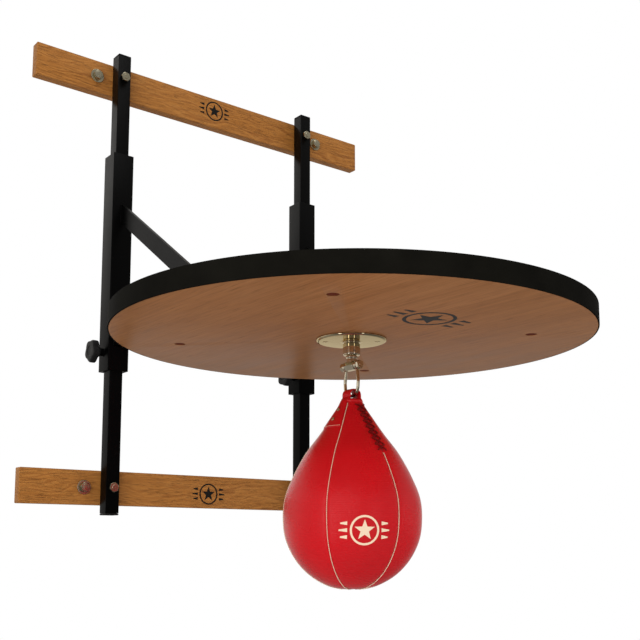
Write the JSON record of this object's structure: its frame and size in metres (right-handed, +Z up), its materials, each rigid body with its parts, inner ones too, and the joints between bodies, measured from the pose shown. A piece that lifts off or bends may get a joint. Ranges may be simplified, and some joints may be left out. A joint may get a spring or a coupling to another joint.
{
  "type": "speed bag platform",
  "caption": "Wall-mounted rebound board on a height-adjustable steel carriage, with a swivel and a teardrop leather speed bag hanging under it.",
  "frame": {"origin": "centre of the upper wall rail's back face, on the wall", "axes": "+X to the right along the wall, +Y into the wall, +Z up"},
  "size_m": [0.6341, 0.7045, 0.8022],
  "materials": {
    "rail_wood": "satin varnish, grain along the rail",
    "board_wood": "smooth satin varnish",
    "powder_coat": "satin black powder coat",
    "black_plastic": "satin moulded",
    "rim_black": "satin edge band",
    "zinc": "yellowish zinc plate",
    "chrome": "polished nickel",
    "brown_paint": "dark brown paint",
    "red_leather": "glossy stitched leather",
    "dark_lace": "waxed lace",
    "rubber": "matt"
  },
  "bodies": {
    "wall_frame": {"upper_wall_rail": "rail_wood", "lower_wall_rail": "rail_wood", "left_post": "powder_coat", "right_post": "powder_coat", "left_post_top_plug": "black_plastic", "left_post_bottom_plug": "black_plastic", "right_post_top_plug": "black_plastic", "right_post_bottom_plug": "black_plastic", "upper_left_post_bolt": "zinc", "upper_left_post_nut": "zinc", "upper_left_lag_screw": "zinc", "upper_left_lag_washer": "zinc", "upper_right_post_bolt": "zinc", "upper_right_post_nut": "zinc", "upper_right_lag_screw": "zinc", "upper_right_lag_washer": "zinc", "lower_left_post_bolt": "zinc", "lower_left_post_nut": "zinc", "lower_left_lag_screw": "zinc", "lower_left_lag_washer": "zinc", "lower_right_post_bolt": "zinc", "lower_right_post_nut": "zinc", "lower_right_lag_screw": "zinc", "lower_right_lag_washer": "zinc"},
    "carriage": {"left_sleeve": "powder_coat", "right_sleeve": "powder_coat", "left_upper_guide_bush": "black_plastic", "left_lower_guide_bush": "black_plastic", "right_upper_guide_bush": "black_plastic", "right_lower_guide_bush": "black_plastic", "left_arm": "powder_coat", "right_arm": "powder_coat", "left_brace": "powder_coat", "right_brace": "powder_coat", "front_cross_bar": "powder_coat", "rear_cross_bar": "powder_coat", "rebound_board": "board_wood", "rim_band": "rim_black", "front_left_board_bolt": "brown_paint", "front_right_board_bolt": "brown_paint", "rear_left_board_bolt": "brown_paint", "rear_right_board_bolt": "brown_paint", "swivel_flange": "chrome", "flange_screw_1": "zinc", "flange_screw_2": "zinc", "swivel_housing": "chrome", "swivel_bearing": "zinc"},
    "left_clamp_screw": {"left_clamp_screw": "zinc"},
    "left_knob": {"left_clamp_knob": "black_plastic"},
    "right_clamp_screw": {"right_clamp_screw": "zinc"},
    "right_knob": {"right_clamp_knob": "black_plastic"},
    "swivel": {"swivel_stud": "chrome", "swivel_cross_bolt": "chrome", "swivel_cross_nut": "chrome"},
    "shackle": {"shackle": "chrome"},
    "bag": {"bag_shell": "red_leather", "bag_strap": "red_leather", "bag_lace": "dark_lace", "bag_bladder": "rubber"}
  },
  "joints": [
    {"name": "carriage_slide", "type": "slide", "parent": "wall_frame", "child": "carriage", "axis": [0, 0, 1], "range_m": [-0.14, 0.095]},
    {"name": "left_clamp_travel", "type": "slide", "parent": "carriage", "child": "left_clamp_screw", "axis": [-1, 0, 0], "range_m": [0, 0.0025]},
    {"name": "left_knob_turn", "type": "hinge", "parent": "left_clamp_screw", "child": "left_knob", "pos_m": [-0.19005, -0.02765, -0.4295], "axis": [-1, 0, 0], "range_deg": [0, 720]},
    {"name": "right_clamp_travel", "type": "slide", "parent": "carriage", "child": "right_clamp_screw", "axis": [-1, 0, 0], "range_m": [0, 0.0025]},
    {"name": "right_knob_turn", "type": "hinge", "parent": "right_clamp_screw", "child": "right_knob", "pos_m": [0.15755, -0.02765, -0.4295], "axis": [-1, 0, 0], "range_deg": [0, 720]},
    {"name": "swivel_spin", "type": "hinge", "parent": "carriage", "child": "swivel", "pos_m": [-0.0245, -0.3997, -0.4512], "axis": [0, 0, 1], "continuous": true},
    {"name": "shackle_swing", "type": "hinge", "parent": "swivel", "child": "shackle", "pos_m": [-0.0245, -0.3997, -0.4857], "axis": [0, 1, 0], "range_deg": [-70, 70]},
    {"name": "bag_rock", "type": "hinge", "parent": "shackle", "child": "bag", "pos_m": [-0.0245, -0.3997, -0.5116], "axis": [1, 0, 0], "range_deg": [-20, 20]}
  ],
  "couplings": [
    {"joint": "left_knob_turn", "follows": "left_clamp_travel", "rad_per_m": 5026.5},
    {"joint": "right_knob_turn", "follows": "right_clamp_travel", "rad_per_m": 5026.5}
  ]
}
